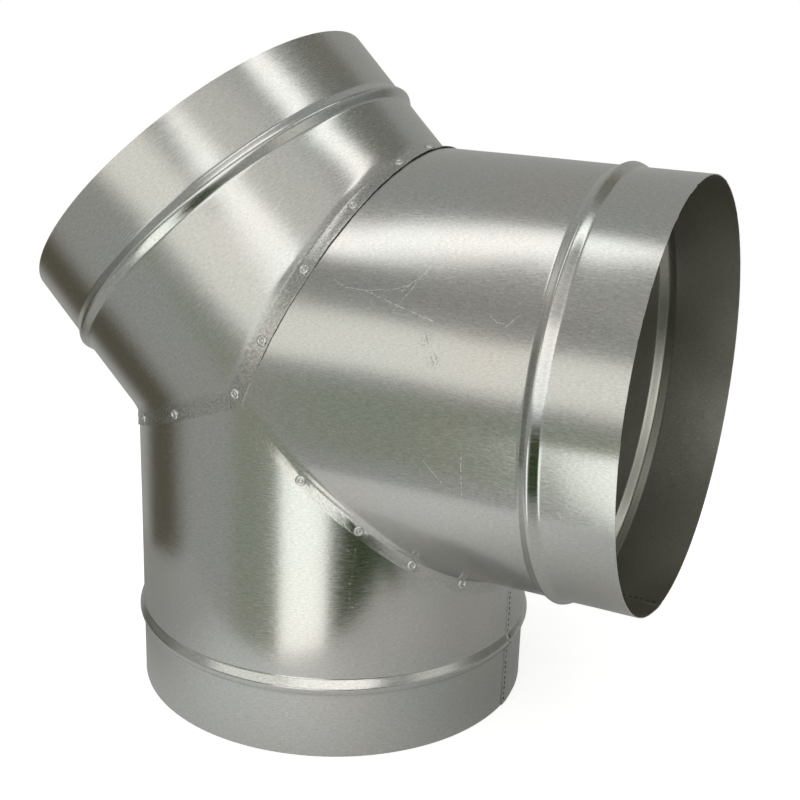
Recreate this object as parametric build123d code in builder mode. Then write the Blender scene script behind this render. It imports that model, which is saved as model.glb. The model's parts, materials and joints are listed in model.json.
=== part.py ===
# Riveted sheet-steel wye for round ventilation duct, 249 mm over its spigots.
# Three rolled tubes of one diameter meet where their axes cross: two outlets square to
# each other, one to the side and one straight down, and a trunk that leans out between
# and behind them. Each tube ends in a spigot with a stop bead. The mitred joints are
# lapped: the trunk's edge is flanged over both outlets, the side outlet's edge over the
# foot, and blind rivets hold the flanges down.
#
# Millimetres, +Z up. The axes lie in the XZ plane. The wye stands on the mouth of its
# foot outlet, whose centre is the origin, and the side outlet points along +X.

from math import acos, cos, degrees, radians, sin, tan
import os

from build123d import *

os.makedirs("parts", exist_ok=True)

# Tubes
duct_diameter = 249.0  # over the sheet of a spigot
sheet = 0.55  # with its zinc coats
outlet_length = 219.0  # from the crossing of the axes to the mouth, both outlets
trunk_length = 139.5  # from the crossing of the axes to the trunk's mouth

# Direction of each branch in the plane of the axes, in degrees from +X toward +Z
side_angle = 0.0
trunk_angle = 135.0
foot_angle = 270.0

# Lengthwise lap seam of each rolled tube
lap_width = 6.0
side_lap_at = -2.0  # free edge of the outer layer, in degrees about the tube's own axis
foot_lap_at = 183.0
trunk_lap_at = 168.0

# Stop bead of each spigot
spigot_length = 45.5  # from the mouth to the crest of the bead
bead_width = 11.0
bead_height = 2.75

# Lapped flanges of the joints, measured square to the joint
trunk_flange = 8.4
side_flange = 6.6
flange_rise = 5.0  # run over which the edge is swaged up onto the neighbour
flange_corner_radius = 7.0  # corner of the trunk's flange, where the three tubes meet
flange_gap = 0.2  # between the side flange's end and the trunk's flange

# Heads of the blind rivets, with the dimple left by the pulled mandrel
rivet_head_diameter = 6.2
rivet_head_height = 1.1
rivet_head_taper = 45.0  # flank, in degrees from upright
rivet_head_sides = 12
rivet_dimple_diameter = 2.2
rivet_dimple_depth = 0.7
rivet_dimple_sides = 6
corner_rivet_inset = 2.7  # from the meeting point of the tubes, along the side outlet

# Places of the rivets along each joint, in degrees about the axis of the tube that
# the flange is riveted to, from the joint's crotch toward the front and the back
trunk_side_rivets_at = (0.0, 16.5, 36.5, 56.5, 75.5)
trunk_foot_rivets_at = (10.0, 30.0, 50.0, 70.0)
side_foot_rivets_at = (8.5, 25.5, 41.5, 56.0, 71.0)

outer = duct_diameter / 2
inner = outer - sheet
lapped = outer + sheet
reach = 2 * (outlet_length + trunk_length + duct_diameter)  # past everything

crossing = Vector(0, 0, outlet_length)
axes_plane = Plane(origin=crossing, x_dir=(1, 0, 0), z_dir=(0, -1, 0))


def ray(angle):
    """Unit vector in the plane of the axes."""
    return Vector(cos(radians(angle)), 0, sin(radians(angle)))


def polar(radius, angle):
    return (radius * cos(radians(angle)), radius * sin(radians(angle)))


def branch_plane(angle):
    """Frame of one branch: Z along its axis toward the mouth, Y across the part."""
    along = ray(angle)
    return Plane(origin=crossing, x_dir=Vector(0, 1, 0).cross(along), z_dir=along)


side_plane = branch_plane(side_angle)
trunk_plane = branch_plane(trunk_angle)
foot_plane = branch_plane(foot_angle)

# The joints lie in the planes that halve the angle between two neighbouring branches
trunk_side_joint = (side_angle + trunk_angle) / 2
trunk_foot_joint = (trunk_angle + foot_angle) / 2
side_foot_joint = (foot_angle + side_angle + 360) / 2


def lapped_section(lap_at):
    """Outline of a rolled sheet whose end laps over its beginning."""
    lap = degrees(lap_width / outer)
    lap_start = lap_at - lap
    outer_rise = degrees(acos(outer / lapped))
    inner_rise = degrees(acos(inner / outer))
    with BuildSketch() as section:
        with BuildLine():
            CenterArc((0, 0), outer, lap_at, 360 - lap - outer_rise)
            Line(polar(outer, lap_start - outer_rise), polar(lapped, lap_start))
            CenterArc((0, 0), lapped, lap_start, lap)
            Line(polar(lapped, lap_at), polar(outer, lap_at))
        make_face()
        with BuildLine():
            CenterArc((0, 0), inner, lap_start, 360 - inner_rise)
            Line(polar(inner, lap_start - inner_rise), polar(outer, lap_start))
            Line(polar(outer, lap_start), polar(inner, lap_start))
        make_face(mode=Mode.SUBTRACT)
    return section.sketch


def bead_profile(plane, angle, base, crest_at):
    """Rolled V on a tube's wall, in the half plane through its axis at this angle."""
    out = plane.x_dir.rotate(Axis((0, 0, 0), plane.z_dir), angle)
    half_plane = Plane(origin=plane.origin, x_dir=out, z_dir=out.cross(plane.z_dir))
    sunk = base - sheet / 2
    with BuildSketch(half_plane) as profile:
        Polygon(
            (sunk, crest_at - bead_width / 2),
            (base, crest_at - bead_width / 2),
            (base + bead_height, crest_at),
            (base, crest_at + bead_width / 2),
            (sunk, crest_at + bead_width / 2),
            align=None,
        )
    return profile.sketch


def rolled_tube(plane, length, lap_at, dressed):
    """Tube with its lap seam and stop bead. Where it is dressed flat, under a flange of
    a neighbour, the lap is taken down to a plain wall."""
    crest_at = length - spigot_length
    axis = Axis(plane.origin, plane.z_dir)
    lap = degrees(lap_width / outer)
    with BuildPart() as tube:
        with BuildSketch(plane):
            add(lapped_section(lap_at))
        extrude(amount=length)
        if dressed:
            add(dressed, mode=Mode.SUBTRACT)
            with BuildPart(mode=Mode.PRIVATE) as plain:
                with BuildSketch(plane):
                    Circle(outer)
                    Circle(inner, mode=Mode.SUBTRACT)
                extrude(amount=length)
                add(dressed, mode=Mode.INTERSECT)
            add(plain.part)
        add(bead_profile(plane, 0, outer, crest_at))
        revolve(axis=axis)
        add(bead_profile(plane, lap_at - lap, lapped, crest_at))
        revolve(axis=axis, revolution_arc=lap)
        add(bead_profile(plane, 0, inner, crest_at))
        revolve(axis=axis, mode=Mode.SUBTRACT)
    return tube.part


def wedge(low, high, margin=0.0, corner=0.0):
    """Prism over one branch's share of the plane of the axes, grown by a margin."""
    with BuildPart() as prism:
        with BuildSketch(axes_plane) as share:
            edge_points = [polar(reach, angle) for angle in (low, (low + high) / 2, high)]
            Polygon((0, 0), *edge_points, align=None)
            if margin:
                offset(amount=margin, kind=Kind.INTERSECTION)
            if corner:
                fillet(share.vertices().sort_by_distance((0, 0, 0))[0], corner)
        extrude(amount=duct_diameter, both=True)
    return prism.part


side_share = wedge(side_foot_joint - 360, trunk_side_joint)
trunk_share = wedge(trunk_side_joint, trunk_foot_joint)
foot_share = wedge(trunk_foot_joint, side_foot_joint)

side_cover = wedge(side_foot_joint - 360, trunk_side_joint, side_flange)
trunk_cover = wedge(
    trunk_side_joint, trunk_foot_joint, trunk_flange, flange_corner_radius
)
trunk_clear = wedge(
    trunk_side_joint, trunk_foot_joint, trunk_flange + flange_gap, flange_corner_radius
)


def swaged_edge(plane, angle, joint, share):
    """Last stretch of a flanged tube, where the sheet climbs by its own thickness to
    reach over the neighbour at the joint."""
    half = abs(joint - angle) % 360
    half = radians(min(half, 360 - half))
    toward = 90 if sin(radians(angle - joint)) > 0 else -90
    joint_plane = Plane(origin=crossing, x_dir=ray(joint), z_dir=ray(joint + toward))
    root = outer - sheet / 2
    with BuildPart() as edge:
        with BuildSketch(joint_plane.offset(flange_rise)):
            with Locations((flange_rise / tan(half), 0)):
                Ellipse(root / sin(half), root)
        with BuildSketch(joint_plane):
            Ellipse(lapped / sin(half), lapped)
        loft(ruled=True)
        with BuildSketch(plane):
            Circle(outer - sheet * 0.75)
        extrude(amount=reach, both=True, mode=Mode.SUBTRACT)
        add(share, mode=Mode.INTERSECT)
    return edge.part


def flange(plane, cover, share):
    """Band that lies on the neighbour's tube, as far as the flanged tube covers it."""
    with BuildPart() as band:
        with BuildSketch(plane):
            Circle(lapped)
            Circle(outer, mode=Mode.SUBTRACT)
        extrude(amount=duct_diameter)
        add(cover, mode=Mode.INTERSECT)
        add(share, mode=Mode.INTERSECT)
    return band.part


def rivet_seat(plane, toward, joint_half, at, inset):
    """Seat of a rivet's head on a flange: its Z points out of the duct."""
    out = toward * cos(radians(at)) + Vector(0, 1, 0) * sin(radians(at))
    along = outer * cos(radians(at)) / tan(joint_half) + inset
    origin = crossing + plane.z_dir * along + out * lapped
    return Plane(origin=origin, x_dir=plane.z_dir, z_dir=out)


def rivet_seats(plane, angle, joint, flange_width, places):
    """Seats along the middle of a flange, to the front and the back of its crotch."""
    joint_half = radians((joint - angle + 180) % 360 - 180)
    toward = ray(angle + (90 if joint_half > 0 else -90))
    joint_half = abs(joint_half)
    inset = flange_width / 2 / sin(joint_half)
    signed = sorted({sign * at for at in places for sign in (-1, 1)})
    return [rivet_seat(plane, toward, joint_half, at, inset) for at in signed]


trunk_side_seats = rivet_seats(
    side_plane, side_angle, trunk_side_joint, trunk_flange, trunk_side_rivets_at
)
trunk_foot_seats = rivet_seats(
    foot_plane, foot_angle, trunk_foot_joint, trunk_flange, trunk_foot_rivets_at
)
side_foot_seats = rivet_seats(
    foot_plane, foot_angle, side_foot_joint, side_flange, side_foot_rivets_at
)
# One rivet at the front and one at the back pins the corner of the trunk's flange
for across in (-90, 90):
    trunk_side_seats.append(
        rivet_seat(side_plane, ray(side_angle + 90), radians(90), across, corner_rivet_inset)
    )


# Trunk: flanged over both outlets
with BuildPart() as trunk_branch:
    add(rolled_tube(trunk_plane, trunk_length, trunk_lap_at, None))
    add(trunk_share, mode=Mode.INTERSECT)
    for joint in (trunk_side_joint, trunk_foot_joint):
        add(swaged_edge(trunk_plane, trunk_angle, joint, trunk_share))
    add(flange(side_plane, trunk_cover, side_share))
    add(flange(foot_plane, trunk_cover, foot_share))

# Side outlet: under the trunk's flange, and flanged over the foot
with BuildPart() as side_raised:
    add(swaged_edge(side_plane, side_angle, side_foot_joint, side_share))
    add(flange(foot_plane, side_cover, foot_share))
    add(trunk_clear, mode=Mode.SUBTRACT)

with BuildPart() as side_branch:
    add(rolled_tube(side_plane, outlet_length, side_lap_at, trunk_cover))
    add(side_share, mode=Mode.INTERSECT)
    add(side_raised.part)

# Foot outlet: under both flanges
with BuildPart() as both_covers:
    add(trunk_cover)
    add(side_cover)

with BuildPart() as foot_branch:
    add(rolled_tube(foot_plane, outlet_length, foot_lap_at, both_covers.part))
    add(foot_share, mode=Mode.INTERSECT)

# Rivet head, its underside at Z = 0
with BuildPart() as rivet:
    with BuildSketch():
        RegularPolygon(rivet_head_diameter / 2, rivet_head_sides)
    extrude(amount=rivet_head_height, taper=rivet_head_taper)
    with BuildSketch(Plane.XY.offset(rivet_head_height)):
        RegularPolygon(rivet_dimple_diameter / 2, rivet_dimple_sides)
    extrude(amount=-rivet_dimple_depth, mode=Mode.SUBTRACT)

with BuildPart() as trunk_side_rivets:
    with Locations(*trunk_side_seats):
        add(rivet.part)

with BuildPart() as trunk_foot_rivets:
    with Locations(*trunk_foot_seats):
        add(rivet.part)

with BuildPart() as side_foot_rivets:
    with Locations(*side_foot_seats):
        add(rivet.part)

pieces = {
    "trunk_branch": trunk_branch,
    "side_branch": side_branch,
    "foot_branch": foot_branch,
    "trunk_side_rivets": trunk_side_rivets,
    "trunk_foot_rivets": trunk_foot_rivets,
    "side_foot_rivets": side_foot_rivets,
}
for name, piece in pieces.items():
    piece.part.label = name
    export_step(piece.part, f"parts/{name}.step")
    print(name, len(piece.solids()), "solids", round(piece.part.volume), "mm3")
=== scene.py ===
"""Looks of the riveted sheet-steel duct wye: three sheet shells, their rivets and seam stitches.

Every size is in metres, in the row frame. Tubes are described by an angle round their axis and a
distance along it from the point where the three axes cross.
"""

import json
from math import acos, cos, pi, radians, sin, sqrt, tan

import bmesh
import bpy
import numpy as np
from mathutils import Matrix, Vector


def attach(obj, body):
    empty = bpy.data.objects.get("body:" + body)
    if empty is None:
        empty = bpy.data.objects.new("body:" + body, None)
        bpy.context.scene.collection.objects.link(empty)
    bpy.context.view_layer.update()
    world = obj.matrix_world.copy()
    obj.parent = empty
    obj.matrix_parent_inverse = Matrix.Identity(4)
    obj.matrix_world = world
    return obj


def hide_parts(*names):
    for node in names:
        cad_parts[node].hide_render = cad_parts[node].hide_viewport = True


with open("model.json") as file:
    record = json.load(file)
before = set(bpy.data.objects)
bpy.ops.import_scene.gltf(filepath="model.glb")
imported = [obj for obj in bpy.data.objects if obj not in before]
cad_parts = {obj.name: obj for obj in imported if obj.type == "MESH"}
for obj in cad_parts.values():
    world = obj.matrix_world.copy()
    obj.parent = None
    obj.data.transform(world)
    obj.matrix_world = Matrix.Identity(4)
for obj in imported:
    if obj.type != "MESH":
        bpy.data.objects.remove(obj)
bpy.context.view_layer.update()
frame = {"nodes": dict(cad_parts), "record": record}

# Sizes of the part, from its mounts and the values of its source
MM = 0.001
MOUNTS = {m["name"]: m for m in frame["record"]["mounts"]}
RADIUS = MOUNTS["side_spigot"]["dims"]["r_mm"] * MM
CROSSING = np.array([0.0, 0.0, MOUNTS["side_spigot"]["pos_m"][2]])
ACROSS = np.array([0.0, 1.0, 0.0])
SHEET = 0.55 * MM
LAP_WIDTH = 6.0 * MM
SPIGOT_LENGTH = 45.5 * MM
BEAD_WIDTH = 11.0 * MM
BEAD_HEIGHT = 2.75 * MM
TRUNK_FLANGE = 8.4 * MM
SIDE_FLANGE = 6.6 * MM
FLANGE_RISE = 5.0 * MM
FLANGE_CORNER = 7.0 * MM
FLANGE_GAP = 0.2 * MM

# Small forms that the solids leave out
CREST_ROUNDING = 1.1 * MM
ROOT_ROUNDING = 0.3 * MM
FOLD_ROUNDING = 1.2 * MM
TRUNK_EDGE_LIFT = 0.4 * MM
SIDE_EDGE_LIFT = 0.08 * MM
EDGE_WANDER = 0.12 * MM
SHEET_WAVE = 0.09 * MM
CONTACT = 0.02 * MM
SIDE_FOLD_LIFT = 0.75 * MM

# On a flange: how far past its fold it lies tight, how far along it a rivet holds its free edge
# down, and how far the slope of the side outlet's flange
TIGHT_MARGIN = 2.5 * MM
EDGE_HOLD = 9 * MM
SLOPE_HOLD = 6 * MM

# How far the flanging tool marked the tube's end and the flange, and how far up the tube. The
# same shares set how much painted shade darkens them.
TRUNK_WORKED_AND_SHADED = (0.8, 1.0)
SIDE_WORKED_AND_SHADED = (0.4, 0.5)
WORKED_AND_SHADED_REACH = 4.5 * MM

# The sheet's waves start this far from a joint, grow over this length, and die out over this
# length toward the bead
CALM_AT_JOINT = 6 * MM
CALM_GROWS = 25 * MM
CALM_AT_BEAD = 16 * MM

# Greatest angle between faces that are still shaded as one surface
SHEET_SHARP = radians(50)
RIVET_SHARP = radians(60)


def smooth(x):
    """Eases from 0 to 1 as x goes from 0 to 1."""
    x = np.clip(x, 0.0, 1.0)
    return x * x * (3 - 2 * x)


def smoothed(bm):
    """Turns all normals outward and shades the faces smooth."""
    bmesh.ops.recalc_face_normals(bm, faces=bm.faces)
    for face in bm.faces:
        face.smooth = True


def finished(bm, name, material, sharp=None):
    """The mesh as an object of the scene, with edges sharp past this angle."""
    mesh = bpy.data.meshes.new(name)
    bm.to_mesh(mesh)
    bm.free()
    mesh.materials.append(material)
    if sharp is not None:
        mesh.set_sharp_from_angle(angle=sharp)
    made = bpy.data.objects.new(name, mesh)
    bpy.context.scene.collection.objects.link(made)
    return made


def bridge(bm, rings):
    """Faces between rings of points, where a ring of one point is a tip."""
    for low, high in zip(rings[:-1], rings[1:]):
        around = max(len(low), len(high))
        for k in range(around):
            n = (k + 1) % around
            if len(low) == 1:
                bm.faces.new((low[0], high[k], high[n]))
            elif len(high) == 1:
                bm.faces.new((low[k], high[0], low[n]))
            else:
                bm.faces.new((low[k], high[k], high[n], low[n]))


class Branch:
    """One rolled tube: its axis, its length from the crossing and the place of its lap seam."""

    def __init__(self, mount, lap_at):
        self.axis = np.array(MOUNTS[mount]["axis"], float)
        self.axis /= np.linalg.norm(self.axis)
        self.length = float(np.linalg.norm(np.array(MOUNTS[mount]["pos_m"]) - CROSSING))
        self.start = np.cross(ACROSS, self.axis)
        self.crest = self.length - SPIGOT_LENGTH
        self.lap_at = radians(lap_at)
        self.lap_start = self.lap_at + 2 * pi - LAP_WIDTH / RADIUS
        self.seed = lap_at
        self.joints = {}

    def out(self, angle):
        """Unit vectors square to the axis at these angles."""
        angle = np.asarray(angle)[..., None]
        return np.cos(angle) * self.start + np.sin(angle) * ACROSS

    def at(self, angle, along, radius):
        """Points of the row frame."""
        along = np.asarray(along)[..., None]
        radius = np.asarray(radius)[..., None]
        return CROSSING + self.axis * along + self.out(angle) * radius


class Joint:
    """The meeting of a branch with a neighbour, seen from the branch."""

    def __init__(self, branch, neighbour):
        self.branch, self.neighbour = branch, neighbour
        self.half = acos(branch.axis @ neighbour.axis) / 2
        self.toward = neighbour.axis - (neighbour.axis @ branch.axis) * branch.axis
        self.toward /= np.linalg.norm(self.toward)
        self.back = branch.axis - (branch.axis @ neighbour.axis) * neighbour.axis
        self.back /= np.linalg.norm(self.back)

    def lean(self, angle):
        """How far the surface at this angle faces the neighbour, from -1 to 1."""
        return self.branch.out(angle) @ self.toward

    def begins(self, angle, radius):
        """Distance along the branch where it meets the joint's plane."""
        return radius * self.lean(angle) / tan(self.half)

    def clear(self, angle, along, radius):
        """Distance of a point of the branch from the joint's plane."""
        return (along - self.begins(angle, radius)) * sin(self.half)

    def on_neighbour(self, angle, past, radius):
        """Points on the neighbour's tube beyond the joint, at the branch's own angles."""
        lean = self.lean(angle)
        side = np.sin(angle)
        out = lean[..., None] * self.back + side[..., None] * ACROSS
        along = radius * lean / tan(self.half) + past
        return CROSSING + out * radius[..., None] + self.neighbour.axis * along[..., None]


side = Branch("side_spigot", -2.0)
trunk = Branch("trunk_spigot", 168.0)
foot = Branch("foot_spigot", 183.0)
for branch, others in ((trunk, (side, foot)), (side, (trunk, foot)), (foot, (trunk, side))):
    for other in others:
        branch.joints[other] = Joint(branch, other)

# Angular steps of the meshes
COLUMN = radians(0.75)
FAN_COLUMNS = 13
OUTER_RISE = acos(RADIUS / (RADIUS + SHEET))
INNER_RISE = acos((RADIUS - SHEET) / RADIUS)


def columns(branch):
    """Angles of a tube's mesh from one side of its lap round to the other, and the share of the
    sheet's thickness that the lap adds at each, outside and inside."""
    start, end = branch.lap_start, branch.lap_at + 2 * pi
    special = [branch.lap_at, start - INNER_RISE, start - OUTER_RISE, start, start, end]
    first = int(np.ceil(branch.lap_at / COLUMN))
    even = COLUMN * np.arange(first, first + round(2 * pi / COLUMN))
    apart = np.min(np.abs(even[:, None] - np.array(special)[None, :]), axis=1)
    angles = np.sort(np.concatenate([even[apart > COLUMN / 4], special]))
    outside = np.clip((angles - start + OUTER_RISE) / OUTER_RISE, 0, 1)
    inside = np.clip((angles - start + INNER_RISE) / INNER_RISE, 0, 1)
    inside[np.searchsorted(angles, start) + 1:] = 0
    return angles, outside, inside


def bead(branch, along):
    """Height of the stop bead over the wall: a rolled V with a rounded crest and roots."""
    off = along - branch.crest
    run = sqrt((BEAD_WIDTH / 2) ** 2 + CREST_ROUNDING**2) - CREST_ROUNDING
    height = BEAD_HEIGHT * (1 - (np.sqrt(off**2 + CREST_ROUNDING**2) - CREST_ROUNDING) / run)
    return (height + np.sqrt(height**2 + ROOT_ROUNDING**2)) / 2


def wave(branch, angle, along):
    """Slight unevenness of hand-rolled sheet, dying out toward the joints and the bead."""
    turn = angle + branch.seed
    swell = (
        np.sin(3 * turn + 31 * along)
        + 0.6 * np.sin(5 * turn - 47 * along + 1.3)
        + 0.35 * np.sin(11 * turn + 63 * along + 2.1)
    )
    edge = np.min([j.clear(angle, along, RADIUS) for j in branch.joints.values()], axis=0)
    calm = smooth((edge - CALM_AT_JOINT) / CALM_GROWS)
    calm = calm * smooth(np.abs(along - branch.crest) / CALM_AT_BEAD)
    return SHEET_WAVE * swell * calm


# Rows of a tube's mesh: distances from its joint and from the bead's crest, and the number of
# rows between those and out to the mouth
NEAR_JOINT = np.array([0, 0.4, 0.8, 1.3, 1.9, 2.6, 3.5, 4.5, 6, 8, 11]) * MM
AROUND_BEAD = np.linspace(-7, 7, 33) * MM
MIDDLE_ROWS = 9
COLLAR_ROWS = 7


def rows(branch, begins):
    """Distances along the axis, one row of the mesh after the other, for columns that begin there."""
    near = begins[None, :] + NEAR_JOINT[:, None]
    bead_rows = branch.crest + AROUND_BEAD
    share = np.linspace(0, 1, MIDDLE_ROWS + 2)[1:-1, None]
    middle = near[-1][None, :] * (1 - share) + bead_rows[0] * share
    collar = np.linspace(bead_rows[-1], branch.length, COLLAR_ROWS + 1)[1:]
    rest = np.concatenate([bead_rows, collar])[:, None] + 0 * begins[None, :]
    return np.concatenate([near, middle, rest])


class SheetMesh:
    """Collects patches of a sheet, each an outer and an inner grid of points, and welds them."""

    def __init__(self):
        self.points, self.faces, self.places = [], [], []

    def patch(self, outer, inner, uv, worked, rims):
        """Grids are (rows, columns, 3). worked is how far the flanging tool marked the sheet
        and how much painted shade darkens it, and rims names the open sides."""
        count = outer.shape[0] * outer.shape[1]
        base = len(self.points)
        self.points += list(outer.reshape(-1, 3)) + list(inner.reshape(-1, 3))
        out = base + np.arange(count).reshape(outer.shape[:2])
        ins = out + count
        worked = np.broadcast_to(worked, uv.shape[:2])
        flat = np.concatenate([uv, worked[..., None]], axis=-1).reshape(-1, 3)
        self.quads(out, flat, base, count)
        self.quads(ins[:, ::-1], flat, base, count, inside=1.0)
        edges = {"last row": (out[-1], ins[-1]), "first row": (out[0][::-1], ins[0][::-1])}
        for rim in rims:
            self.quads(np.stack(edges[rim]), flat, base, count)

    def quads(self, grid, flat, base, count, inside=0.0):
        """Faces of one grid of point numbers, with their places on the flat sheet."""
        for i in range(grid.shape[0] - 1):
            for j in range(grid.shape[1] - 1):
                face = (grid[i, j], grid[i, j + 1], grid[i + 1, j + 1], grid[i + 1, j])
                self.faces.append([int(v) for v in face])
                self.places.append([(*flat[(v - base) % count], inside) for v in face])

    def build(self, name, material):
        """The welded mesh as an object, its normals outward."""
        bm = bmesh.new()
        sheet_layer = bm.loops.layers.uv.new("sheet")
        worked_and_shaded_layer = bm.loops.layers.uv.new("worked")
        verts = [bm.verts.new(Vector(p)) for p in self.points]
        for face, places in zip(self.faces, self.places):
            made = bm.faces.new([verts[v] for v in face])
            for loop, place in zip(made.loops, places):
                loop[sheet_layer].uv = place[:2]
                loop[worked_and_shaded_layer].uv = place[2:]
        bmesh.ops.remove_doubles(bm, verts=bm.verts, dist=1e-7)
        bmesh.ops.dissolve_degenerate(bm, edges=bm.edges, dist=1e-7)
        smoothed(bm)
        return finished(bm, name, material, SHEET_SHARP)


def near_any(angles, places, reach):
    """1 where an angle is on one of these places, falling to 0 at this reach."""
    gap = np.min(np.abs(np.abs(np.asarray(angles)[..., None]) - np.array(places)), axis=-1)
    return 1 - smooth(gap / reach)


def tube_skins(branch, angles, outside, inside, along, lift, dressed):
    """Outer and inner grids of a tube's wall."""
    turn = angles[None, :] + 0 * along
    shape = bead(branch, along) + wave(branch, turn, along)
    lap_outside = np.maximum(outside[None, :] * (1 - dressed), lift)
    lap_inside = np.maximum(inside[None, :] * (1 - dressed), lift)
    outer = branch.at(turn, along, RADIUS + SHEET * lap_outside + shape)
    inner = branch.at(turn, along, RADIUS - SHEET + SHEET * lap_inside + shape)
    return outer, inner


def rounded_fold(points, branch_axis, neighbour_axis, distance, size):
    """Eases the crease where a tube turns into its flange. distance is negative on the tube."""
    size = np.maximum(size, 1e-9)
    reach = np.sqrt(distance**2 + size**2)
    spill = ((reach - np.abs(distance)) / 2)[..., None]
    return points + spill * (branch_axis + neighbour_axis)


# Rows of a flange's mesh, as shares of its width
FLANGE_STEPS = np.array([0, 0.4, 0.8, 1.3, 1.9, 2.6, 3.4, 4.3, 5.2, 6.1, 7.0, 7.7, 8.4]) / 8.4


def flange_radius(share, angles, width, stands_off, rivets_at):
    """Radius of a flange's outer face on the neighbour. Its free edge stands off a little between
    the rivets."""
    held = near_any(angles, np.radians(rivets_at), EDGE_HOLD / RADIUS)
    lift = stands_off * smooth((share * width - TIGHT_MARGIN) / (width - TIGHT_MARGIN))
    lift = lift * (0.6 + 0.4 * np.cos(angles) ** 2)
    return RADIUS + SHEET + CONTACT + lift * (1 - 0.6 * held)


def flange_grids(joint, turn, past, radius, first, bend):
    """Outer and inner grid of a flange on the neighbour, their first row at the fold's own radius,
    and their places on the flat sheet."""
    grids = []
    for depth in (0, SHEET):
        grid = joint.on_neighbour(turn, past, radius - depth)
        grid[0] = joint.on_neighbour(turn, past, first - depth)[0]
        grids.append(rounded_fold(grid, joint.branch.axis, joint.neighbour.axis, past, bend))
    return (*grids, np.stack([turn * RADIUS, -past], axis=-1))


def wander(angles):
    """How far a hand-cut edge strays."""
    return EDGE_WANDER * (
        np.sin(17 * angles + 0.4) + 0.7 * np.sin(41 * angles + 2.0) + 0.4 * np.sin(83 * angles)
    )


# Rivets along each joint, in degrees from its crotch, where the flange lies tight
TRUNK_SIDE_RIVETS = (0.0, 16.5, 36.5, 56.5, 75.5, 90.0)
TRUNK_FOOT_RIVETS = (10.0, 30.0, 50.0, 70.0)
SIDE_FOOT_RIVETS = (8.5, 25.5, 41.5, 56.0, 71.0)


def corner_reach(direction, offset):
    """Distance from the crossing to the rounded corner of the trunk's flange, in the plane of the
    axes, in a direction measured from the corner's own."""
    half = trunk.joints[side].half
    square = pi / 2 - half
    centre = offset / sin(half) - FLANGE_CORNER / sin(half)
    tangent = np.arctan2(FLANGE_CORNER * sin(square), centre + FLANGE_CORNER * cos(square))
    swing = np.abs(direction)
    straight = offset / np.sin(pi - half - swing)
    arc = centre * np.cos(swing) + np.sqrt(FLANGE_CORNER**2 - (centre * np.sin(swing)) ** 2)
    return np.where(swing < tangent, arc, straight)


def pole_points(plane_x, plane_z, radius, front, tube):
    """Points over this place of the plane of the axes, on the front or back of a tube."""
    place = np.stack([plane_x, 0 * plane_x, plane_z], axis=-1)
    off_axis = place @ tube.start
    height = np.sqrt(radius**2 - off_axis**2)
    return CROSSING + place + (-1 if front else 1) * height[..., None] * ACROSS


# The wandering of the trunk's cut edge dies out past the first angle from a crotch, over the
# second. At its corners the free edge lifts by this share of its lift elsewhere.
CORNER_STARTS = radians(80)
CORNER_GROWS = radians(6)
CORNER_LIFT = 0.15


def trunk_flange_strip(angles):
    """The trunk's flange: a closed ring of columns round both joints and the corners between them."""
    share = FLANGE_STEPS[:, None]
    parts = []
    for neighbour, crotch, places in ((side, 0, TRUNK_SIDE_RIVETS), (foot, pi, TRUNK_FOOT_RIVETS)):
        joint = trunk.joints[neighbour]
        chosen = angles[joint.lean(angles) > -1e-9]
        below = pi - crotch
        chosen = np.sort((chosen + below) % (2 * pi) - below)
        chosen = np.clip(chosen, crotch - pi / 2, crotch + pi / 2)
        from_crotch = chosen - crotch
        corner = smooth((np.abs(from_crotch) - CORNER_STARTS) / CORNER_GROWS)
        width = TRUNK_FLANGE + wander(chosen) * (1 - corner)
        turn = chosen[None, :] + 0 * share
        past = share * width[None, :] / sin(joint.half)
        around = from_crotch[None, :] + 0 * share
        radius = flange_radius(share, around, TRUNK_FLANGE, TRUNK_EDGE_LIFT, places)
        bend = FOLD_ROUNDING * np.abs(joint.lean(turn))
        first = RADIUS + SHEET + 0 * radius
        parts.append(flange_grids(joint, turn, past, radius, first, bend))
    return [parts[0], corner_fan(False), parts[1], corner_fan(True)]


def corner_fan(front):
    """The rounded corner of the trunk's flange at one meeting point of the three tubes."""
    share = FLANGE_STEPS[:, None]
    swing = np.linspace(-pi / 4, pi / 4, FAN_COLUMNS)
    if front:
        swing = swing[::-1]
    reach = share * corner_reach(swing, TRUNK_FLANGE)[None, :]
    # From the side outlet's axis down to the foot's, about the bisector between them
    heading = -pi / 4 - swing[None, :] + 0 * share
    plane_x, plane_z = reach * np.cos(heading), reach * np.sin(heading)
    lift = TRUNK_EDGE_LIFT * smooth((reach - TIGHT_MARGIN) / (6 * MM)) * CORNER_LIFT
    grids = []
    for base in (RADIUS + SHEET, RADIUS):
        on_side = pole_points(plane_x, plane_z, base + CONTACT + lift, front, side)
        on_foot = pole_points(plane_x, plane_z, base + CONTACT + lift, front, foot)
        grid = np.where((swing < 0)[None, :, None], on_side, on_foot)
        grid[0] = CROSSING + (-1 if front else 1) * base * ACROSS
        grids.append(grid)
    uv = np.stack([plane_x, plane_z], axis=-1)
    return grids[0], grids[1], uv


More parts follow.
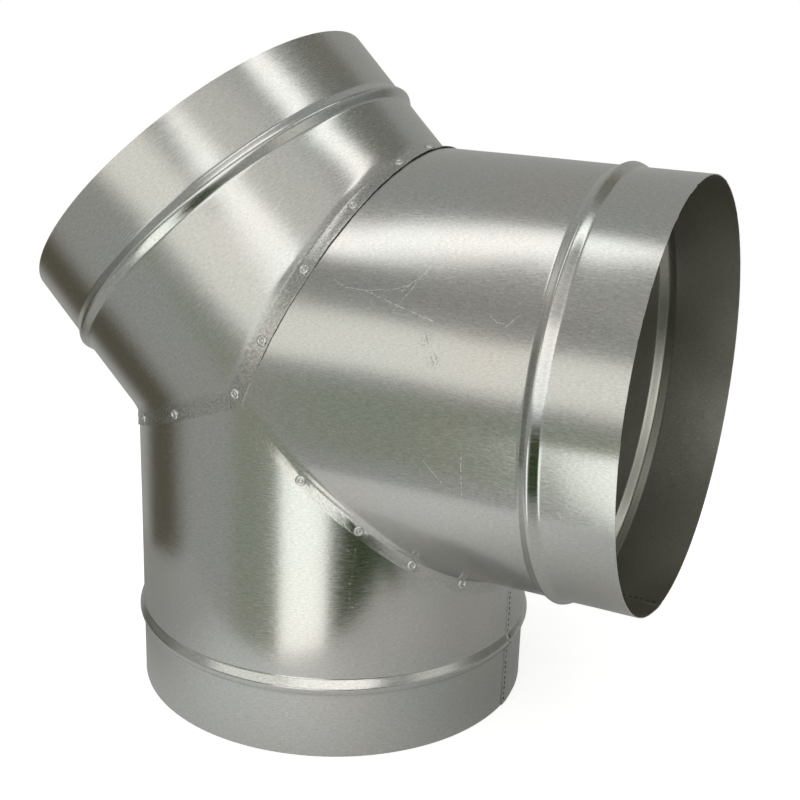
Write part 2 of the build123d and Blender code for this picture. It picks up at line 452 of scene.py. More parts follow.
def build_trunk(material):
    """The trunk: its tube, its lap and the flange on both outlets."""
    angles, outside, inside = columns(trunk)
    rim = RADIUS + SHEET
    joints = [trunk.joints[side], trunk.joints[foot]]
    begins = np.max([j.begins(angles, rim) for j in joints], axis=0)
    along = rows(trunk, begins)
    turn = angles[None, :] + 0 * along
    clear = np.min([j.clear(turn, along, rim) for j in joints], axis=0)
    lift = 1 - smooth(clear / FLANGE_RISE)
    outer, inner = tube_skins(trunk, angles, outside, inside, along, lift, 0 * along)
    under_begins = np.max([j.begins(angles, RADIUS) for j in joints], axis=0)
    inner[0] = trunk.at(angles, under_begins, RADIUS + 0 * angles)
    for joint in joints:
        faces = joint.lean(angles) >= 0
        bend = FOLD_ROUNDING * np.abs(joint.lean(turn))
        distance = along - begins[None, :]
        for grid in (outer, inner):
            eased = rounded_fold(grid, trunk.axis, joint.neighbour.axis, distance, bend)
            grid[:, faces] = eased[:, faces]
    sheet = SheetMesh()
    uv = np.stack([turn * RADIUS, along], axis=-1)
    on_tube, on_flange = TRUNK_WORKED_AND_SHADED
    sheet.patch(outer, inner, uv, on_tube * (1 - smooth(clear / WORKED_AND_SHADED_REACH)), ["last row"])
    close_lap(sheet, outer, inner, uv)
    for outer_part, inner_part, part_uv in trunk_flange_strip(angles):
        sheet.patch(outer_part, inner_part, part_uv, on_flange, ["last row"])
    return sheet.build("trunk_sheet", material)


def close_lap(sheet, outer, inner, uv):
    """The step from the lap's free edge down to the sheet below it, outside and inside."""
    step_out = np.stack([outer[:, -1], outer[:, 0]], axis=1)
    step_in = np.stack([inner[:, -1], inner[:, 0]], axis=1)
    sheet.patch(step_out, step_in, np.stack([uv[:, -1], uv[:, -1]], axis=1), 0.0, ["last row"])


# The side outlet's fold comes down to the foot from the first angle, over the second. Its tips
# lie at about the third.
HELD_DOWN_FROM = radians(67)
HELD_DOWN_OVER = radians(9)
TIP_ANGLE = 1.5

# Columns of a tip, how far the last one is off the foot's axis, and how far the start of a
# column is looked for
TIP_COLUMNS = 9
TIP_END = 0.15 * MM
TIP_REACH = 12 * MM

# Distance off the foot's and side outlet's axes at which their joint leaves the trunk's flange
CORNER_STOP = float(corner_reach(np.array(0.0), TRUNK_FLANGE + FLANGE_GAP)) / sqrt(2)


def far_from_corner(angles):
    """1 along the side outlet's flange, falling to 0 where it nears the trunk's flange."""
    turn = np.abs((angles + pi) % (2 * pi) - pi)
    return 1 - smooth((turn - HELD_DOWN_FROM) / HELD_DOWN_OVER)


def side_bend(joint, turn):
    """Rounding of the side outlet's fold, which dies out where the fold nears the corners."""
    lean = np.abs(joint.lean(turn))
    return FOLD_ROUNDING * lean * smooth((lean - 0.05) / 0.2)


def side_rim(angles):
    """Radius of the side outlet's outer face at its fold, which stands off the foot away from the
    corners."""
    return RADIUS + SHEET + SIDE_FOLD_LIFT * far_from_corner(angles)


def side_flange_strip(angles):
    """The side outlet's flange on the foot, from one corner of the trunk's flange to the other."""
    joint = side.joints[foot]
    share = FLANGE_STEPS[:, None]
    rim = RADIUS + SHEET
    turn_in = (angles + pi) % (2 * pi) - pi
    limit = CORNER_STOP / rim
    chosen = np.sort(turn_in[np.cos(turn_in) > limit])
    last = acos(limit)
    near_end = np.abs(np.abs(chosen) - last) > COLUMN / 4
    chosen = np.concatenate([[-last], chosen[near_end], [last]])
    width = SIDE_FLANGE + wander(chosen + 2) * smooth((np.cos(chosen) - 0.15) / 0.1)
    turn = chosen[None, :] + 0 * share
    past = share * width[None, :] / sin(joint.half)
    held = near_any(turn, np.radians(SIDE_FOOT_RIVETS), SLOPE_HOLD / RADIUS) * smooth(share / 0.35)
    radius = flange_radius(share, turn, SIDE_FLANGE, SIDE_EDGE_LIFT, SIDE_FOOT_RIVETS)
    radius = radius + (side_rim(turn) - rim) * (1 - share) * (1 - 0.9 * held)
    return chosen, *flange_grids(joint, turn, past, radius, side_rim(turn), side_bend(joint, turn))


def side_flange_tips():
    """The two tips of the side outlet's flange, which end against the trunk's flange."""
    share = FLANGE_STEPS[:, None]
    tips = []
    for front in (True, False):
        b = np.linspace(CORNER_STOP, TIP_END, TIP_COLUMNS)
        free = b + SIDE_FLANGE / sin(pi / 4)
        start = []
        for x in b:
            reach = np.linspace(0.5 * x, TIP_REACH, 400)
            heading = np.arctan2(reach, x)
            inside = np.hypot(x, reach) < corner_reach(heading - pi / 4, TRUNK_FLANGE + FLANGE_GAP)
            start.append(max(reach[inside][-1] if inside.any() else x, x))
        start = np.array(start)
        start[0] = b[0]
        depth = start[None, :] * (1 - share) + free[None, :] * share
        plane_x = b[None, :] + 0 * share
        angles = 0 * share + TIP_ANGLE
        radius = flange_radius(share, angles, SIDE_FLANGE, SIDE_EDGE_LIFT, SIDE_FOOT_RIVETS)
        lift = radius - RADIUS - SHEET
        outer = pole_points(plane_x, -depth, RADIUS + SHEET + lift, front, foot)
        inner = pole_points(plane_x, -depth, RADIUS + lift, front, foot)
        uv = np.stack([plane_x, -depth], axis=-1)
        if front:
            outer, inner, uv = outer[:, ::-1], inner[:, ::-1], uv[:, ::-1]
        tips.append((outer, inner, uv))
    return tips


def build_side(material):
    """The side outlet: its tube, its lap and the flange on the foot."""
    angles, outside, inside = columns(side)
    over, under = side.joints[foot], side.joints[trunk]
    rim = RADIUS + SHEET
    flanged = (np.cos(angles) * rim) > CORNER_STOP
    begins = np.maximum(
        np.where(flanged, over.begins(angles, side_rim(angles)), over.begins(angles, RADIUS)),
        under.begins(angles, RADIUS),
    )
    along = rows(side, begins)
    turn = angles[None, :] + 0 * along
    clear = over.clear(turn, along, side_rim(turn))
    # The raised edge starts where the trunk's flange ends
    down = np.cos(turn) * RADIUS
    heading = np.clip(np.arctan2(down, along) - pi / 4, -pi / 4, pi / 4)
    from_corner = np.hypot(along, down) - corner_reach(heading, TRUNK_FLANGE)
    lift = (1 - smooth(clear / FLANGE_RISE)) * smooth(from_corner / MM)
    lift = lift * (side_rim(turn) - RADIUS) / SHEET
    outer, inner = tube_skins(side, angles, outside, inside, along, lift, 0 * along)
    distance = along - begins[None, :]
    bend = side_bend(over, turn)
    for grid, radius in ((outer, side_rim(angles)), (inner, side_rim(angles) - SHEET)):
        first = side.at(angles, over.begins(angles, radius), radius)
        grid[0, flanged] = first[flanged]
        eased = rounded_fold(grid, side.axis, foot.axis, distance, bend)
        grid[:, flanged] = eased[:, flanged]
    sheet = SheetMesh()
    uv = np.stack([turn * RADIUS, along], axis=-1)
    on_tube, on_flange = SIDE_WORKED_AND_SHADED
    worked = on_tube * (1 - smooth(clear / WORKED_AND_SHADED_REACH)) * far_from_corner(turn)
    sheet.patch(outer, inner, uv, worked, ["last row", "first row"])
    close_lap(sheet, outer, inner, uv)
    chosen, outer_part, inner_part, part_uv = side_flange_strip(angles)
    worked = on_flange * far_from_corner(chosen)[None, :]
    sheet.patch(outer_part, inner_part, part_uv, worked, ["last row"])
    for outer_tip, inner_tip, tip_uv in side_flange_tips():
        sheet.patch(outer_tip, inner_tip, tip_uv, 0.0, ["last row", "first row"])
    return sheet.build("side_sheet", material)


def build_foot(material):
    """The foot outlet: its tube and its lap, dressed flat under the side outlet's flange."""
    angles, outside, inside = columns(foot)
    joints = [foot.joints[trunk], foot.joints[side]]
    begins = np.max([j.begins(angles, RADIUS) for j in joints], axis=0)
    along = rows(foot, begins)
    turn = angles[None, :] + 0 * along
    dressed = 1 - smooth((foot.joints[side].clear(turn, along, RADIUS) - SIDE_FLANGE) / (3 * MM))
    outer, inner = tube_skins(foot, angles, outside, inside, along, 0 * along, dressed)
    sheet = SheetMesh()
    uv = np.stack([turn * RADIUS, along], axis=-1)
    sheet.patch(outer, inner, uv, 0.0, ["last row", "first row"])
    close_lap(sheet, outer, inner, uv)
    return sheet.build("foot_sheet", material)


# Blind rivet: distance from its middle and height over the sheet, in millimetres
RIVET_PROFILE = (
    (0.0, 0.52), (0.55, 0.5), (0.8, 0.4), (0.95, 0.3), (1.1, 0.32), (1.3, 0.72), (1.55, 0.98),
    (1.9, 1.1), (2.3, 1.06), (2.7, 0.86), (2.98, 0.55), (3.1, 0.25), (3.1, 0.0), (1.62, -0.02),
    (1.6, -1.15), (2.1, -1.45), (2.35, -1.95), (2.2, -2.55), (1.7, -3.0), (1.0, -3.15),
    (0.8, -3.1), (0.7, -3.5), (0.0, -3.6),
)
RIVET_TURNS = 40


def islands(node):
    """Points of each separate solid of a node, as arrays."""
    mesh = frame["nodes"][node].data
    points = np.empty(len(mesh.vertices) * 3)
    mesh.vertices.foreach_get("co", points)
    points = points.reshape(-1, 3)
    places, which = np.unique(np.round(points, 6), axis=0, return_inverse=True)
    which = which.reshape(-1)
    parent = list(range(len(places)))

    def root(i):
        while parent[i] != i:
            parent[i] = parent[parent[i]]
            i = parent[i]
        return i

    for a, b in (tuple(e.vertices) for e in mesh.edges):
        parent[root(which[a])] = root(which[b])
    roots = np.array([root(i) for i in range(len(places))])
    return [places[roots == r] for r in np.unique(roots)]


def rivet_seats(node):
    """Middle of the underside of each rivet head of a node, and the way it points."""
    seats = []
    for points in islands(node):
        middle = points.mean(axis=0)
        out = np.linalg.svd(points - middle)[2][2]
        if out @ (middle - CROSSING) < 0:
            out = -out
        base = middle + out * ((points - middle) @ out).min()
        ring = points[(points - base) @ out < 0.1 * MM]
        seats.append((ring.mean(axis=0), out))
    return sorted(seats, key=lambda s: tuple(np.round(s[0], 5)))


def build_rivets(node, name, material, chance):
    """Blind rivets, each turned and leant a little its own way."""
    bm = bmesh.new()
    for seat, out in rivet_seats(node):
        turn = Vector(out).to_track_quat("Z", "Y").to_matrix().to_4x4()
        lean = Matrix.Rotation(radians(chance.uniform(-2.5, 2.5)), 4, "X")
        spin = Matrix.Rotation(chance.uniform(0, 2 * pi), 4, "Z")
        place = Matrix.Translation(Vector(seat)) @ turn @ lean @ spin
        rings = []
        for r, h in RIVET_PROFILE:
            if r == 0:
                rings.append([bm.verts.new(place @ Vector((0, 0, h * MM)))])
                continue
            swell = 1 + 0.02 * chance.uniform(-1, 1)
            ring = []
            for k in range(RIVET_TURNS):
                a = 2 * pi * k / RIVET_TURNS
                wobble = r * swell * MM * (1 + 0.012 * sin(3 * a + 7 * r))
                ring.append(bm.verts.new(place @ Vector((wobble * cos(a), wobble * sin(a), h * MM))))
            rings.append(ring)
        bridge(bm, rings)
    smoothed(bm)
    return finished(bm, name, material, RIVET_SHARP)


# Stitch weld along each lap: short low beads of melted metal
STITCH_PITCH = 3.7 * MM
STITCH_LENGTH = 2.3 * MM
STITCH_WIDTH = 1.15 * MM
STITCH_HEIGHT = 0.16 * MM
STITCH_AROUND, STITCH_ALONG = 8, 5

# The row of stitches starts past the joints, ends before the mouth and lies across the lap by
# these lengths
STITCHES_START = 10.5 * MM
STITCHES_END = 1.5 * MM
STITCH_LINE = 0.62 * LAP_WIDTH


def build_stitches(branch, name, material, chance):
    """The row of stitches that closes a tube's lap, outside and inside."""
    bm = bmesh.new()
    angle = branch.lap_start + STITCH_LINE / RADIUS
    joints = branch.joints.values()
    first = max(j.begins(np.array(angle), RADIUS) + STITCHES_START / sin(j.half) for j in joints)
    count = int((branch.length - STITCHES_END - first) / STITCH_PITCH)
    for outward in (1, -1):
        for k in range(count):
            along = first + (k + 0.5) * STITCH_PITCH + chance.uniform(-0.3, 0.3) * MM
            turn = angle + chance.uniform(-0.25, 0.25) * MM / RADIUS
            base = RADIUS + SHEET if outward > 0 else RADIUS - SHEET
            long = STITCH_LENGTH * chance.uniform(0.7, 1.25)
            wide = STITCH_WIDTH * chance.uniform(0.8, 1.3)
            add_stitch(bm, branch, turn, along, base, outward, long, wide)
    smoothed(bm)
    return finished(bm, name, material)


def add_stitch(bm, branch, turn, along, base, outward, long, wide):
    """One lens-shaped stitch that follows the wall, half sunk in it."""
    rings = []
    for i in range(STITCH_ALONG + 1):
        t = -1 + 2 * i / STITCH_ALONG
        width = wide / 2 * sqrt(max(1 - t * t, 0.0))
        height = STITCH_HEIGHT * sqrt(max(1 - t * t, 0.0))
        s = np.array(along + t * long / 2)
        wall = base + float(bead(branch, s))
        ring = []
        for k in range(STITCH_AROUND):
            a = 2 * pi * k / STITCH_AROUND
            angle = np.array(turn + width * cos(a) / RADIUS)
            ring.append(branch.at(angle, s, np.array(wall + outward * height * sin(a))))
            if i in (0, STITCH_ALONG):
                break
        rings.append([bm.verts.new(Vector(p)) for p in ring])
    bridge(bm, rings)


class Graph:
    """The shader nodes of a material or of the world."""

    def __init__(self, owner):
        owner.use_nodes = True
        self.owner = owner
        self.nodes = owner.node_tree.nodes
        self.links = owner.node_tree.links

    def fill(self, socket, value):
        """Gives an input a number or colour, or links another node's output to it."""
        if isinstance(value, bpy.types.NodeSocket):
            self.links.new(value, socket)
        else:
            socket.default_value = value

    def node(self, kind, *values, **named):
        """A new node, its inputs filled in order or by name, and its settings by name."""
        made = self.nodes.new("ShaderNode" + kind)
        for key in [key for key in named if hasattr(made, key)]:
            setattr(made, key, named.pop(key))
        for key, value in named.items():
            self.fill(made.inputs[key], value)
        for socket, value in zip(made.inputs, values):
            self.fill(socket, value)
        return made

    def calc(self, operation, *values):
        """The result of arithmetic on sockets and numbers."""
        return self.node("Math", *values, operation=operation).outputs["Value"]

    def times(self, a, b):
        """The product of two sockets or numbers."""
        return self.calc("MULTIPLY", a, b)

    def add(self, total, *others):
        """The sum of sockets and numbers, in their order."""
        for other in others:
            total = self.calc("ADD", total, other)
        return total

    def vector(self, operation, *values, **named):
        """The result of arithmetic on vectors."""
        made = self.node("VectorMath", *values, operation=operation, **named)
        one_number = operation in ("DOT_PRODUCT", "DISTANCE", "LENGTH")
        return made.outputs["Value" if one_number else "Vector"]

    def mapped(self, value, low, high, span=(0.0, 1.0), smoothly=False):
        """A value carried from one span to another."""
        made = self.node("MapRange", value, *span, low, high)
        if smoothly:
            made.interpolation_type = "SMOOTHSTEP"
        return made.outputs["Result"]

    def mix(self, factor, a, b):
        """A colour between two colours."""
        return self.node("Mix", data_type="RGBA", Factor=factor, A=a, B=b).outputs["Result"]

    def ramp(self, value, *stops):
        """A colour that follows a value through stops, each a position and a colour."""
        made = self.node("ValToRGB", Fac=value)
        elements = made.color_ramp.elements
        for position, _ in stops[1:-1]:
            elements.new(position)
        for element, (position, colour) in zip(elements, stops):
            element.position = position
            element.color = (*colour, 1)
        return made.outputs["Color"]

    def noise(self, place, scale, detail, roughness=0.55):
        """Noise, with a scale for each direction of the sheet where it is a pair."""
        if isinstance(scale, tuple):
            stretch = self.node("Mapping", Vector=place, Scale=(*scale, 1.0))
            place, scale = stretch.outputs["Vector"], 1.0
        made = self.node("TexNoise", Vector=place, Scale=scale, Detail=detail, Roughness=roughness)
        return made.outputs["Fac"]

    def principled(self, **named):
        """Fills inputs of the material's own shader, with _ for a space in their names."""
        shader = self.nodes["Principled BSDF"]
        for key, value in named.items():
            self.fill(shader.inputs[key.replace("_", " ")], value)
        return shader.outputs["BSDF"]

    def show(self, surface):
        """Makes this shader the surface of the material."""
        self.links.new(surface, self.nodes["Material Output"].inputs["Surface"])


def stroke(graph, place, start, end, width):
    """1 on a straight line between two places of the sheet in millimetres, 0 beyond its width."""
    a, b = Vector((*start, 0)) * MM, Vector((*end, 0)) * MM
    way, length = (b - a).normalized(), (b - a).length
    offset = graph.vector("SUBTRACT", place, a)
    along = graph.vector("DOT_PRODUCT", offset, way)
    held = graph.mapped(along, 0.0, length, (0.0, length))
    gap = graph.vector("DISTANCE", offset, graph.vector("SCALE", way, Scale=held))
    return graph.mapped(gap, 1.0, 0.0, (0.3 * width * MM, width * MM))


def drawn(graph, place, lines):
    """All the lines of a set of scratches, each a chain of places."""
    total = 0.0
    for line in lines:
        for start, end in zip(line[:-1], line[1:]):
            total = graph.calc("MAXIMUM", total, stroke(graph, place, start, end, SCRATCH_WIDTH))
    return total


def patchy(graph, place, spots):
    """Round patches of the sheet with a broken edge."""
    total = 0.0
    for x, y in spots:
        spot = stroke(graph, place, (x - SCUFF_STRETCH, y), (x + SCUFF_STRETCH, y), SCUFF_REACH)
        total = graph.calc("MAXIMUM", total, spot)
    broken = graph.mapped(graph.noise(place, SCUFF_SPECKS, 3.0), 0.0, 1.0, (0.5, 0.6))
    return graph.times(total, broken)


# Noises of the sheet, in cycles per metre. The first three are along the rolled grain and across it.
GRAIN = (150.0, 1100.0)
SPECKLE = (450.0, 1900.0)
RIPPLE = (35.0, 110.0)
MOTTLE = 600.0
DENTS = 330.0
TINT_DRIFT = 9.0
HAIRLINES = (75.0, 55.0)
HAIRLINE_PATCHES = 62.0
SCUFF_SPECKS = (420.0, 1100.0)
SHAKE = 260.0

# Scratches stray by half of the reach to each side. The other three are in millimetres.
SHAKE_REACH = 1.6 * MM
SCRATCH_WIDTH = 0.26
SCUFF_STRETCH = 0.6
SCUFF_REACH = 4.6

# Colours of the zinc, of the dusty inner faces, of a fresh scratch and of a scuff
WARM_ZINC = (0.565, 0.55, 0.53)
COOL_ZINC = (0.54, 0.56, 0.545)
DUSTY_ZINC = (0.455, 0.452, 0.408)
FRESH_SCRATCH = (0.93, 0.92, 0.9)
DARK_SCUFF = (0.16, 0.15, 0.14)


def galvanised(name, lengthwise, scratches, strength, scuffs):
    """Rolled galvanised sheet: fine grain round the tube or lengthwise, a faint tint, marks of
    handling, a mottled look where the flanging tool marked it, and painted shade darkening it there."""
    graph = Graph(bpy.data.materials.new(name))
    add, times, mapped = graph.add, graph.times, graph.mapped
    place = graph.node("UVMap", uv_map="sheet").outputs["UV"]
    tangent = graph.node("Tangent", direction_type="UV_MAP", uv_map="sheet").outputs["Tangent"]
    layer = graph.node("UVMap", uv_map="worked").outputs["UV"]
    split = graph.node("SeparateXYZ", Vector=layer).outputs
    worked, inside = split["X"], split["Y"]
    outside = graph.calc("SUBTRACT", 1.0, inside)

    def rolled(scales, detail, roughness=0.55):
        return graph.noise(place, scales[::-1] if lengthwise else scales, detail, roughness)

    grain = rolled(GRAIN, 3.0, 0.65)
    speckle = rolled(SPECKLE, 2.0, 0.6)
    mottle = graph.noise(place, MOTTLE, 3.0, 0.6)
    dents = graph.noise(place, DENTS, 2.0)
    ripple = rolled(RIPPLE, 2.0)
    tint = graph.noise(place, TINT_DRIFT, 2.0)
    hairs = graph.noise(place, HAIRLINES, 1.0)

    # Colour: a slow drift of tint, a little mottle, more of it on the flanges, and painted shade that
    # darkens the flanges
    zinc = graph.ramp(tint, (0.36, WARM_ZINC), (0.64, COOL_ZINC))
    dusty = graph.mix(inside, zinc, (*DUSTY_ZINC, 1))
    shade = add(
        times(graph.calc("SUBTRACT", mottle, 0.5), mapped(worked, 0.1, 1.1)),
        times(graph.calc("SUBTRACT", grain, 0.5), 0.3),
        1.0,
        # Painted shade: the flanges and the tube ends next to them are darker by up to 0.13
        times(worked, -0.13),
        mapped(speckle, -0.15, 0.15, (0.25, 0.75)),
    )
    colour = graph.vector("SCALE", dusty, Scale=shade)

    # Marks: hairline scratches scattered over the sheet, and the ones that the photograph shows
    jitter = graph.node("TexNoise", Vector=place, Scale=SHAKE, Detail=2.0).outputs["Color"]
    back = graph.vector("SUBTRACT", place, (SHAKE_REACH / 2, SHAKE_REACH / 2, 0))
    wobbly = graph.vector("MULTIPLY_ADD", jitter, (SHAKE_REACH, SHAKE_REACH, 0), back)
    contour = graph.calc("ABSOLUTE", graph.calc("SUBTRACT", hairs, 0.5))
    hairline = mapped(contour, 1.0, 0.0, (0.0003, 0.0016))
    sparse = mapped(graph.noise(place, HAIRLINE_PATCHES, 1.0), 0.0, 0.3, (0.6, 0.72))
    faded = mapped(mottle, 0.2 * strength, strength, (0.4, 0.6))
    seen = times(times(drawn(graph, wobbly, scratches), faded), outside)
    marks = graph.calc("MAXIMUM", times(hairline, sparse), seen)
    surface = graph.mix(marks, colour, (*FRESH_SCRATCH, 1))
    if scuffs:
        scuff = times(patchy(graph, wobbly, scuffs), outside)
        surface = graph.mix(times(scuff, 0.55), surface, (*DARK_SCUFF, 1))

    smooth_zinc = mapped(grain, 0.16, 0.24, (0.3, 0.7))
    rough = add(smooth_zinc, times(worked, 0.08), times(marks, 0.22), times(inside, 0.14))

    # Relief, in metres: grain and ripple everywhere, dents from the tool on the flanges
    dented = times(dents, mapped(worked, 4e-6, 1.6e-4))
    height = add(times(grain, 6e-6), times(ripple, 4e-5), times(mottle, 1e-5), dented)
    height = add(height, times(marks, -1.2e-5))
    bump = graph.node("Bump", Strength=1.0, Distance=1.0, Height=height)
    graph.principled(
        Metallic=1.0,
        Anisotropic=0.2,
        Anisotropic_Rotation=0.25 if lengthwise else 0.0,
        Tangent=tangent,
        Base_Color=surface,
        Roughness=rough,
        Normal=bump.outputs["Normal"],
    )
    return graph.owner


# Scratches that the photograph shows: places round the tube and along it, in millimetres
SIDE_SCRATCHES = (
    (
        (516.6, 52.3), (520.0, 60.5), (520.1, 71.8), (517.2, 87.8),
        (513.3, 95.8), (506.8, 101.8), (502.5, 103.8),
    ),
    ((517.8, 92.0), (513.3, 95.8)),
    ((520.1, 71.8), (525.8, 93.0), (530.8, 113.0)),
    ((529.4, 90.0), (516.0, 97.0), (507.0, 100.7), (501.3, 103.4)),
    ((479.3, 103.6), (499.3, 105.0)),
    ((528.1, 152.1), (524.6, 155.0), (520.5, 158.2)),
    ((523.3, 142.9), (526.3, 146.9), (526.3, 150.6)),
    ((603.7, 116.2), (615.4, 126.0)),
    ((593.8, 137.5), (620.3, 137.0)),
)
FOOT_SCRATCHES = (
    ((523.4, 83.3), (517.2, 87.6)),
    ((518.0, 129.8), (516.8, 107.9), (514.5, 85.2)),
    ((516.4, 122.2), (510.3, 118.1)),
    ((516.5, 120.4), (510.6, 128.1)),
    ((483.6, 107.5), (483.4, 111.9), (481.4, 116.6)),
    ((495.2, 117.3), (489.9, 117.9)),
    ((494.6, 119.9), (492.1, 124.0)),
)
TRUNK_SCRATCHES = (((669.7, 60.8), (677.9, 64.5)), ((684.0, 70.0), (686.5, 76.0)))
SIDE_SCUFFS = ((541.0, 111.3), (550.3, 117.6))


def plain_metal(name, colour, roughness, speck):
    """Small worked metal: a satin finish with a fine speckle."""
    graph = Graph(bpy.data.materials.new(name))
    speckle = graph.noise(graph.node("TexCoord").outputs["Object"], 900.0, 3.0, 0.6)
    dark, light = ([min(c * (1 + change), 1) for c in colour] for change in (-speck, speck))
    graph.principled(
        Metallic=1.0,
        Base_Color=graph.ramp(speckle, (0.3, dark), (0.7, light)),
        Roughness=graph.mapped(speckle, roughness - 0.08, roughness + 0.08),
    )
    return graph.owner


rivet_finish = plain_metal("rivet_steel", (0.62, 0.62, 0.61), 0.3, 0.08)
stitch_finish = plain_metal("stitch_weld", (0.05, 0.046, 0.042), 0.5, 0.3)

chance = np.random.default_rng(7)
# Each shell's builder, its CAD node, whether its grain runs lengthwise, its scratches and how
# plainly they show, and its scuffs
shells = (
    (build_trunk, "trunk_branch", False, TRUNK_SCRATCHES, 0.4, ()),
    (build_side, "side_branch", True, SIDE_SCRATCHES, 0.8, SIDE_SCUFFS),
    (build_foot, "foot_branch", False, FOOT_SCRATCHES, 0.3, ()),
)
for build, cad_node, *looks in shells:
    piece = build(galvanised(cad_node.replace("branch", "galvanised"), *looks))
    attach(piece, "root")
    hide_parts(cad_node)

for cad_node in ("trunk_side_rivets", "trunk_foot_rivets", "side_foot_rivets"):
    piece = build_rivets(cad_node, cad_node.replace("rivets", "blind_rivets"), rivet_finish, chance)
    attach(piece, "root")
    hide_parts(cad_node)

seams = ((trunk, "trunk_seam_stitches"), (side, "side_seam_stitches"), (foot, "foot_seam_stitches"))
for branch, name in seams:
    piece = build_stitches(branch, name, stitch_finish, chance)
    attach(piece, "root")


def sighted(azimuth, height, turn):
    """The way toward this azimuth and height, with the right and up seen along it, turned."""
    ahead = Vector((sin(azimuth) * cos(height), -cos(azimuth) * cos(height), sin(height)))
    level = Vector((cos(azimuth), sin(azimuth), 0))
    steep = ahead.cross(level)
    right = level * cos(turn) + steep * sin(turn)
    up = steep * cos(turn) - level * sin(turn)
    return ahead, right, up


# Camera at the photograph's angle, fitted to the outline
CAMERA_AZIMUTH = radians(25.498)
CAMERA_HEIGHT = radians(18.152)
CAMERA_ROLL = radians(2.035)
CAMERA_AT = (0.382508, -0.712275, 0.446193)
CAMERA_LENS = 60.305


def add_camera():
    back, right, up = sighted(CAMERA_AZIMUTH, CAMERA_HEIGHT, CAMERA_ROLL)
    data = bpy.data.cameras.new("camera")
    data.lens = CAMERA_LENS
    data.sensor_width = 36
    data.clip_start, data.clip_end = 0.01, 50
    camera = bpy.data.objects.new("camera", data)
    bpy.context.scene.collection.objects.link(camera)
    turned = Matrix((right, up, back)).transposed().to_4x4()
    camera.matrix_world = Matrix.Translation(CAMERA_AT) @ turned
    bpy.context.scene.camera = camera


# Strength of the world for plain light, and where the camera or the metal sees it
WORLD_STRENGTH = (0.8, 1.0)


def set_world():
    """White behind the object for the camera, and in the metal where no studio wall stands."""
    world = bpy.data.worlds.new("studio")
    bpy.context.scene.world = world
    graph = Graph(world)
    world.cycles.sampling_method = "NONE"
    path = graph.node("LightPath").outputs
    seen = graph.calc("MAXIMUM", path["Is Camera Ray"], path["Is Glossy Ray"])
    seen = graph.calc("MAXIMUM", seen, path["Is Transmission Ray"])
    background = graph.nodes["Background"]
    graph.fill(background.inputs["Color"], (1, 1, 1, 1))
    graph.fill(background.inputs["Strength"], graph.mapped(seen, *WORLD_STRENGTH))


def stage_material(name):
    """The graph of a glowing material that is never sampled as a lamp. The metal finds its light
    by its own reflections, so sampling it would only take time."""
    graph = Graph(bpy.data.materials.new(name))
    graph.owner.cycles.emission_sampling = "NONE"
    return graph


# Soft boxes and darker walls of the studio: azimuth, height, half width, half height, softness of
# the edge and turn in degrees, and colour. Azimuth 0 is straight in front and 90 to the right.
DOME_RADIUS = 2.4
WALL_COLOUR = (0.42, 0.42, 0.4)
SOFT_BOXES = (
    (-60, 67, 6, 17, 8, 20, (1.6, 1.57, 1.54)),
    (104, 59.5, 4.5, 16, 5, 40, (1.7, 1.66, 1.62)),
    (-19, 16, 21, 12.5, 9, -6, (0.72, 0.7, 0.64)),
    (28, 20, 22, 18.5, 7, -12, (1.12, 1.12, 1.1)),
    (32, 50, 24, 12, 14, 10, (0.36, 0.35, 0.33)),
    (85, 15, 12, 8, 8, 0, (0.4, 0.38, 0.34)),
    (-98, 30, 12, 7, 8, 0, (0.32, 0.31, 0.28)),
    (-32, 43, 18, 5, 7, 0, (-0.05, -0.05, -0.05)),
    (-125, 10, 8, 13, 8, 0, (0.85, 0.84, 0.8)),
    (148, 48, 16, 12, 12, 0, (-0.18, -0.18, -0.19)),
    (135, 5, 28, 14, 14, 0, (-0.2, -0.2, -0.2)),
    (-90, 2, 24, 14, 12, 0, (-0.18, -0.18, -0.18)),
    (-12, -22, 17, 18, 9, 0, (-0.09, -0.07, -0.12)),
    (46, -24, 16, 16, 8, 0, (-0.39, -0.37, -0.39)),
    (-88, -30, 17, 20, 20, 0, (-0.3, -0.31, -0.32)),
)


def soft_box(graph, direction, azimuth, height, wide, tall, soft, turn, colour):
    """Light of one soft rectangle on the dome, its middle and half sizes given in degrees."""
    middle, right, up = sighted(radians(azimuth), radians(height), radians(turn))
    edges = []
    for across, half in ((right, wide), (up, tall)):
        off = graph.calc("ABSOLUTE", graph.vector("DOT_PRODUCT", direction, across))
        fade = (sin(radians(half + soft / 2)), sin(radians(max(half - soft / 2, 0))))
        edges.append(graph.mapped(off, 0.0, 1.0, fade, True))
    facing = graph.calc("GREATER_THAN", graph.vector("DOT_PRODUCT", direction, middle), 0.0)
    return graph.vector("SCALE", colour, Scale=graph.times(graph.times(*edges), facing))


def add_dome():
    """The studio's walls and soft boxes, seen by the metal and not by the camera."""
    graph = stage_material("studio_walls")
    graph.nodes.remove(graph.nodes["Principled BSDF"])
    direction = graph.vector("NORMALIZE", graph.node("TexCoord").outputs["Object"])
    lights = [soft_box(graph, direction, *box) for box in SOFT_BOXES]
    total = lights[0]
    for light in (*lights[1:], WALL_COLOUR):
        total = graph.vector("ADD", total, light)
    graph.show(graph.node("Emission", Color=total).outputs["Emission"])
    bm = bmesh.new()
    bmesh.ops.create_uvsphere(bm, u_segments=64, v_segments=32, radius=DOME_RADIUS)
    dome = finished(bm, "studio_walls", graph.owner)
    dome.location = CROSSING
    dome.visible_camera = False


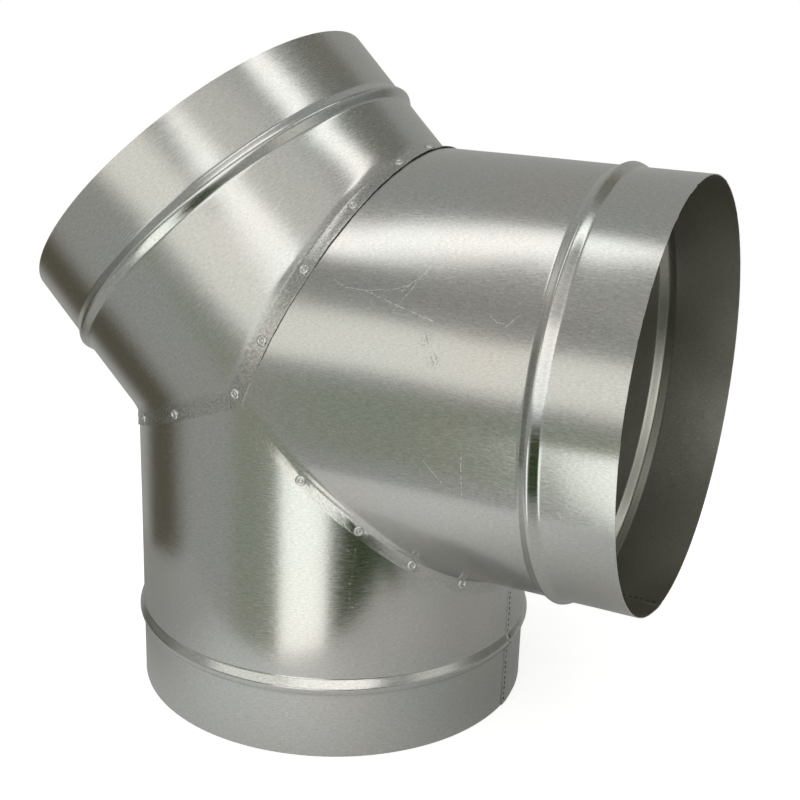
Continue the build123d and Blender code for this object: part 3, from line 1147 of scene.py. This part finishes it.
# Outline of the table's top: near the part in front and to the left, and out of the picture
# elsewhere. It fades into white from the first to the second distance from the origin.
TABLE_TOP = (
    (-0.25, -0.238), (0.27, -0.238), (0.33, -0.03), (0.34, 0.62),
    (-0.6, 0.62), (-0.29, 0.1), (-0.29, -0.1),
)
TABLE_LEVEL = -0.0002
TABLE_FADE = (0.42, 0.6)
# Painted shade on the table: its colour across it, darkest just left of the part, lighter to the
# right
TABLE_PAINTED_SHADE = (
    (0.0, (0.58, 0.58, 0.575)),
    (0.2, (0.51, 0.51, 0.51)),
    (0.55, (0.66, 0.66, 0.66)),
    (1.0, (0.78, 0.78, 0.775)),
)

# What the table adds of its own to what the camera sees at its left and right, and the painted
# glow, seen only in the metal, at its back and front
TABLE_SEEN = (0.92, 0.72)
TABLE_PAINTED_GLOW = (0.05, 0.36)


def flat_stage(name, corners, material):
    """One flat face as an object of the stage."""
    bm = bmesh.new()
    bm.faces.new([bm.verts.new(corner) for corner in corners])
    made = finished(bm, name, material)
    return made


def add_table():
    """A pale table under the part, its front and left edge near, that fades into white behind. Its
    colour holds painted shade across it, and a painted glow shows in the metal only.
    """
    graph = stage_material("table")
    mapped, times = graph.mapped, graph.times
    path = graph.node("LightPath").outputs
    place = graph.node("TexCoord").outputs["Object"]
    split = graph.node("SeparateXYZ", Vector=place).outputs
    across, along = split["X"], split["Y"]
    # Painted shade: the table's colour darkest just left of the part, lighter to the right
    shade = graph.ramp(mapped(across, 0.0, 1.0, (-0.25, 0.25)), *TABLE_PAINTED_SHADE)
    matt = graph.principled(Base_Color=shade, Roughness=0.9, Specular_IOR_Level=0.2)
    seen = times(path["Is Camera Ray"], mapped(across, *TABLE_SEEN, (-0.16, 0.02), True))
    # Painted glow that only the metal's reflections see: brightest at the table's front, in a spot
    # round x = 0
    front = mapped(along, *TABLE_PAINTED_GLOW, (0.0, -0.2), True)
    spot = mapped(graph.calc("ABSOLUTE", across), 1.0, 0.3, (0.04, 0.2), True)
    strength = graph.calc("MULTIPLY_ADD", path["Is Glossy Ray"], times(front, spot), seen)
    glow = graph.node("Emission", Strength=strength).outputs["Emission"]
    lit = graph.node("AddShader", matt, glow).outputs["Shader"]
    fade = mapped(graph.vector("LENGTH", place), 0.0, 1.0, TABLE_FADE, True)
    clear = graph.node("BsdfTransparent").outputs["BSDF"]
    graph.show(graph.node("MixShader", fade, lit, clear).outputs["Shader"])
    flat_stage("table", [(x, y, TABLE_LEVEL) for x, y in TABLE_TOP], graph.owner)


CARD_CORNERS = ((-0.01, -0.7, -0.9), (0.31, -0.7, -0.9), (0.31, -0.7, 0.05), (-0.01, -0.7, 0.05))


def add_card():
    """A white card low in front of the table, seen only in the metal."""
    graph = stage_material("card")
    graph.nodes.remove(graph.nodes["Principled BSDF"])
    glow = graph.node("Emission", Color=(1.0, 1.01, 0.95, 1), Strength=1.65)
    graph.show(glow.outputs["Emission"])
    card = flat_stage("card", CARD_CORNERS, graph.owner)
    card.visible_camera = False


add_camera()
set_world()
add_dome()
add_table()
add_card()
bpy.context.scene.view_settings.view_transform = "Standard"
